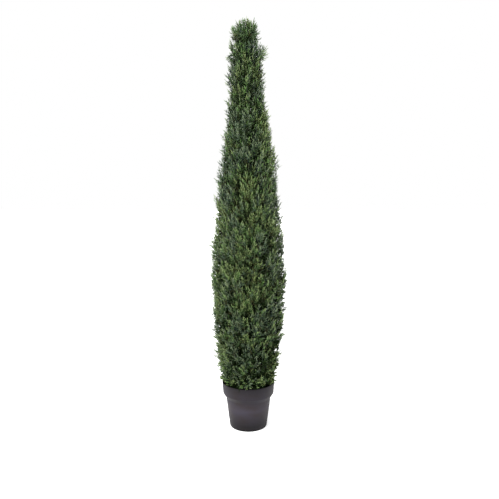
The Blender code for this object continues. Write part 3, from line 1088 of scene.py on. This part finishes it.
def tone_of(place, mood, dice):
    """A frond's tones: painted shade darker inside the crown, in drifts over its face, and painted
    light and shade by height and on the left flank.
    """
    drift = noise.noise(Vector(place) * 8.0) + 0.6 * noise.noise(Vector(place) * 19.0)
    # Painted shade: darker tones the deeper a frond sits in the crown
    level = TONE_FLOOR + PAINTED_SHADE_BY_DEPTH * crown_depth(place) + TONE_BY_DRIFT * drift
    level = level + mood + dice.uniform(-1.0, 1.0)
    # Painted light and shade on the left flank, by how far a frond sits to the left
    left_share = max(0.0, (lean(place[2]) - place[0]) / crown_radius(place[2]))
    # Painted light and shade by height, and on the left flank
    level += between(HEIGHT_PAINTED_LIGHT_AND_SHADE, place[2]) + left_share * between(LEFT_PAINTED_LIGHT_AND_SHADE, place[2])
    spot = Vector(place) + HUE_SPOT
    hue = noise.noise(spot * 8.5) + 0.5 * noise.noise(spot * 21.0)
    hue += dice.uniform(-HUE_SPREAD, HUE_SPREAD)
    family = LEAFY_TONES
    if hue < COOL_BELOW:
        family = COOL_TONES
    elif hue > WARM_ABOVE:
        family = WARM_TONES
    return family[int(min(len(family) - 1, max(0, math.floor(level))))]


def crown_depth(place):
    """Share of the way from the trunk to the crown's outline. The top tuft is all outside."""
    if place[2] > CROWN_TOP_TIER:
        return TOP_DEPTH
    height = max(CROWN_FOOT, place[2] + 0.02)
    return math.hypot(place[0] - lean(place[2]), place[1]) / crown_radius(height)


def add_frond(fronds, place, direction, outward, size, mood, dice):
    """Adds a frond, cut short at the top and at the widest, but none over the pot's rim."""
    direction = unit(direction)
    size *= between(FROND_SIZES, place[2])
    if dice.random() < between(SKIPPED, place[2]):
        return
    room = dice.uniform(*TOP_CAP) - place[2]
    if size * FROND_LENGTH * direction[2] > room:
        size = max(LEAST_FROND, room / (FROND_LENGTH * direction[2]))
    started = math.hypot(place[0], place[1])
    tip = place + size * FROND_LENGTH * direction
    reached = math.hypot(tip[0], tip[1])
    if reached > RIM_RADIUS - OVERHANG and tip[2] < POT_HEIGHT + OVERHANG:
        return
    if reached > WIDEST:
        size *= max(LEAST_FROND, (WIDEST - started) / (reached - started))
    axes = size * frond_frame(direction, outward, dice)
    tones = tone_of(place + 0.5 * size * FROND_LENGTH * direction, mood, dice)
    kind = dice.randrange(FROND_KINDS)
    if not in_cleft(tip):
        fronds.append((place, axes, kind, tones))


def in_cleft(tip):
    """Whether a frond's tip lies in the small cleft low on the crown's right side."""
    off = math.remainder(math.atan2(tip[1], tip[0]) - CLEFT_TURN, 2 * math.pi)
    level = CLEFT_HEIGHTS[0] < tip[2] < CLEFT_HEIGHTS[1]
    return level and abs(off) < CLEFT_HALF_TURN and math.hypot(tip[0], tip[1]) > CLEFT_REACH


def grow_crown():
    """Tubes of boughs, twigs and stems, frames of fronds with their tones, and of filling."""
    dice = random.Random(CROWN_SEED)
    end_dice = random.Random(END_SEED)
    side_dice = random.Random(SIDE_SEED)
    boughs, twigs, stems, fronds, filling = [], [], [], [], []
    for foot, fork, blades in masses():
        bough = curved(foot, fork, BOUGH_BOW, 6)
        boughs.append(tube(bough, np.linspace(BOUGH_RADIUS, 0.5 * BOUGH_RADIUS, 6), 7))
        for _ in range(BOUGH_ROUNDS):
            fill_along(bough, BOUGH_FILLED_AT, dice, filling)
        for edge in blades:
            tip, right, root, left = edge[0], edge[2], edge[3], edge[4]
            twig = curved(bough[dice.choice((2, 3, 4, 5))], root, STEM_BOW, 5)
            twigs.append(tube(twig, np.linspace(*TWIG_RADII, 5), 4))
            fill_along(twig, INNER_FILLED_AT, dice, filling)
            mood = dice.uniform(-MASS_MOOD, MASS_MOOD)
            drawn_in = dice.uniform(-INSET_SPREAD, INSET_SPREAD)
            for prong in (tip, right, left):
                inset = TOP_INSET if foot.z > TOP_FOOT else between(TIP_INSETS, prong.z)
                kept = max(LEAST_PRONG, 1 - (inset + drawn_in) / (prong - root).length)
                end = root + kept * (prong - root)
                path = curved(root, end, STEM_BOW, 7)
                stems.append(tube(path, np.linspace(*STEM_RADII, 7), 3))
                fill_along(path, FILLED_AT, dice, filling)
                if END_FILLED[0] < prong.z < END_FILLED[1]:
                    fill_end(path, end_dice, filling)
                dress_prong(path, mood, dice, stems, fronds)
    leader = [Vector((lean(z), 0.0, z)) for z in LEADER]
    for _ in range(LEADER_ROUNDS):
        fill_along(curved(*leader, 0.0, 6), LEADER_FILLED_AT, dice, filling)
    for step in range(COLLAR):
        low, high = COLLAR_HEIGHTS
        z = low + (high - low) * step / COLLAR
        out = Vector((math.cos(GOLDEN_TURN * step), math.sin(GOLDEN_TURN * step), 1.0))
        root = Vector((lean(z), 0.0, z))
        path = curved(root, root + dice.uniform(*COLLAR_REACH) * out, STEM_BOW, 7)
        stems.append(tube(path, np.linspace(*STEM_RADII, 7), 3))
        fill_along(path, FILLED_AT, dice, filling)
        dress_prong(path, 0.0, dice, stems, fronds)
    for path in side_tufts():
        stems.append(tube(path, np.linspace(*STEM_RADII, 7), 3))
        fill_along(path, FILLED_AT, side_dice, filling)
        dress_prong(path, 0.0, side_dice, stems, fronds)
    return boughs, twigs, stems, fronds, filling


def side_tufts():
    """Paths of the longer stems whose tufts stand out of the cone, at the right."""
    dice = random.Random(SIDE_TUFT_SEED)
    paths = []
    for turn, height, reach in SIDE_TUFTS:
        for _ in range(SIDE_STEMS):
            towards = turn + dice.uniform(-SIDE_SPREAD[0], SIDE_SPREAD[0])
            z = height + dice.uniform(-SIDE_SPREAD[1], SIDE_SPREAD[1])
            out = Vector((math.cos(towards), math.sin(towards), 0.0))
            foot = Vector((lean(z), 0.0, z - SIDE_RISE)) + SIDE_FOOT * reach * out
            end = Vector((lean(z), 0.0, z)) + reach * out
            paths.append(curved(foot, end, STEM_BOW, 7))
    return paths


def outward_at(place):
    """The level direction away from the trunk, raised a little."""
    return unit(np.array([place[0] - lean(place[2]), place[1], 0.02]))


def swing_about(along, spin):
    helper = UP if abs(along[2]) < 0.95 else AHEAD
    side = unit(np.cross(along, helper))
    return side * math.cos(spin) + np.cross(side, along) * math.sin(spin)


def along_path(path, share):
    """A point on a path and the path's direction there."""
    place_at = share * (len(path) - 1)
    low = min(int(place_at), len(path) - 2)
    step = path[low + 1] - path[low]
    return path[low] + (place_at - low) * step, unit(step)


def fill_along(path, shares, dice, filling):
    """Coarse dark fronds round a twig, near-black painted shade, which close the view through the
    crown.
    """
    spin = dice.uniform(0.0, FULL_TURN)
    for share in shares:
        place, along = along_path(path, share)
        spin += GOLDEN_TURN
        direction = unit(0.6 * along + swing_about(along, spin))
        size = between(FILLER_SIZES, place[2])
        # Painted shade: the blackest tone low down, a near-black above, a dark green near the
        # outline
        tone = "hollow" if place[2] < BLACKEST_SHADE_BELOW else "deep"
        if crown_depth(place) > HOLLOW_WITHIN:
            tone = "shade"
        axes = size * frond_frame(direction, outward_at(place), dice)
        filling.append((place, axes, tone))


def fill_end(path, dice, filling):
    """Two small green fronds, past a stem's end and beside it, which close pinholes there."""
    place, along = along_path(path, 1.0)
    outward = outward_at(place)
    onward = unit(along + 0.8 * outward + dice.uniform(*END_RISE) * UP)
    beside = unit(along + swing_about(along, dice.uniform(0.0, FULL_TURN)))
    for start, direction in ((place, onward), (along_path(path, END_BESIDE)[0], beside)):
        axes = END_FILLER * frond_frame(direction, outward, dice)
        filling.append((start, axes, dice.choice(END_TONES)))


def dress_prong(path, mood, dice, stems, fronds):
    """Short twiglets round a stem at the golden angle, each with a frond, and an end tuft."""
    spin = dice.uniform(0.0, FULL_TURN)
    for share in TWIGLETS:
        shift = dice.uniform(-TWIGLET_SHIFT, TWIGLET_SHIFT)
        place, along = along_path(path, min(1.0, share + shift))
        outward = outward_at(place)
        spin += GOLDEN_TURN
        spread = math.radians(dice.uniform(*TWIGLET_SPREAD))
        direction = along * math.cos(spread) + swing_about(along, spin) * math.sin(spread)
        direction = unit(direction + TWIGLET_RISE * UP)
        end = place + dice.uniform(*TWIGLET_LENGTH) * (1.0 - 0.5 * share) * direction
        stems.append(tube((place, end), TWIGLET_RADII, 3))
        size = dice.uniform(*TWIGLET_SIZES) * (1.0 - 0.15 * share)
        onward = 0.65 * direction + 0.35 * along + 0.15 * outward
        onward = onward + between(UPWARDS, place[2]) * UP
        add_frond(fronds, end, onward, outward, size, mood, dice)
    place, along = along_path(path, 1.0)
    outward = outward_at(place)
    onward = along + TUFT_UPWARD * UP
    size = dice.uniform(*END_SIZES)
    add_frond(fronds, place, onward, outward, size, mood + TIP_MOOD, dice)
    for _ in range(TUFT_FRONDS):
        spin += math.pi
        spread = math.radians(dice.uniform(*TUFT_SPREAD))
        direction = along * math.cos(spread) + swing_about(along, spin) * math.sin(spread)
        size = dice.uniform(*TUFT_SIZES)
        direction = direction + TUFT_UPWARD * UP
        add_frond(fronds, place, direction, outward, size, mood + TIP_MOOD, dice)
    if dice.random() < between(WISP_SHARES, place[2]):
        size = dice.uniform(*WISP_SIZE)
        add_frond(fronds, place, along + 0.5 * outward + UP, outward, size, WISP_MOOD, dice)


def mesh_piece(name, points, faces, material, slot, nodes):
    """One joined mesh of triangles, from arrays."""
    mesh = bpy.data.meshes.new(name)
    mesh.vertices.add(len(points))
    mesh.vertices.foreach_set("co", points.astype(np.float32).ravel())
    mesh.loops.add(3 * len(faces))
    mesh.loops.foreach_set("vertex_index", faces.astype(np.int32).ravel())
    mesh.polygons.add(len(faces))
    mesh.polygons.foreach_set("loop_start", np.arange(0, 3 * len(faces), 3, dtype=np.int32))
    mesh.update(calc_edges=True)
    obj = bpy.data.objects.new(name, mesh)
    bpy.context.scene.collection.objects.link(obj)
    return finished(obj, material, slot, *nodes)


def build_crown():
    """Boughs, twigs and fronds, joined by kind and by tone."""
    nodes = [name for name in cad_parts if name.startswith("foliage")]
    boughs, twigs, stems, fronds, filling = grow_crown()
    twig_bark = twig_material()
    mesh_piece("boughs", *join_arrays(boughs), twig_bark, "trunk", nodes)
    mesh_piece("twigs", *join_arrays(twigs), twig_bark, "trunk", nodes)
    mesh_piece("spray_stems", *join_arrays(stems), stem_material(), "foliage_mid", nodes)
    leaf = leaf_shape()
    needle = needle_shape()
    shapes = [frond_shape(leaf, needle, seed) for seed in range(FROND_KINDS)]
    by_tone = {tone: [] for tone in TONES}
    for place, axes, kind, tones in fronds:
        for tone, (points, faces) in zip(tones, shapes[kind]):
            by_tone[tone].append((points @ axes.T + place, faces))
    points, faces = filler_shape(needle)
    for place, axes, tone in filling:
        by_tone[tone].append((points @ axes.T + place, faces))
    for tone, parts in by_tone.items():
        material = foliage_material(tone)
        total = sum(len(faces) for _, faces in parts)
        pieces = math.ceil(total / PIECE_LIMIT)
        for piece in range(pieces):
            share = parts[piece::pieces]
            name = f"leaves_{tone}" if pieces == 1 else f"leaves_{tone}_{piece + 1}"
            mesh_piece(name, *join_arrays(share), material, SLOTS[tone], nodes)


# Floor, light and camera


def build_stage():
    """A pale floor, white surroundings and soft light from the upper left."""
    fresh_start()
    bpy.ops.mesh.primitive_plane_add(size=FLOOR_SIZE, location=(0.0, 0.0, -FLOOR_DROP))
    floor = bpy.context.object
    floor.name = "floor"
    material, shader = principled("floor_pale", 0.9)
    shader.inputs["Base Color"].default_value = (0.93, 0.93, 0.93, 1.0)
    shader.inputs["Specular IOR Level"].default_value = 0.1
    shader.inputs["Emission Color"].default_value = (1.0, 1.0, 1.0, 1.0)
    shader.inputs["Emission Strength"].default_value = FLOOR_GLOW
    floor.data.materials.append(material)
    world = bpy.data.worlds.new("studio")
    bpy.context.scene.world = world
    world.use_nodes = True
    background = world.node_tree.nodes["Background"]
    background.inputs["Color"].default_value = (1.0, 1.0, 1.0, 1.0)
    background.inputs["Strength"].default_value = 1.0
    sun = bpy.data.lights.new("key", "SUN")
    sun.energy = KEY_STRENGTH
    sun.angle = math.radians(KEY_SOFTNESS)
    lamp = bpy.data.objects.new("key", sun)
    bpy.context.scene.collection.objects.link(lamp)
    lamp.rotation_euler = Vector(KEY_TOWARDS).to_track_quat("-Z", "Y").to_euler()


def build_camera():
    """Eye height 1.25 m, 2.77 m in front, looking slightly down, as in the photograph."""
    data = bpy.data.cameras.new("camera")
    data.sensor_width = SENSOR
    data.lens = LENS
    camera = bpy.data.objects.new("camera", data)
    bpy.context.scene.collection.objects.link(camera)
    camera.location = EYE
    camera.rotation_euler = (math.radians(90.0 - TILT_DOWN), 0.0, 0.0)
    bpy.context.scene.camera = camera


build_pot()
build_fill()
build_trunk()
build_crown()
build_stage()
build_camera()
bpy.context.scene.view_settings.view_transform = "Standard"
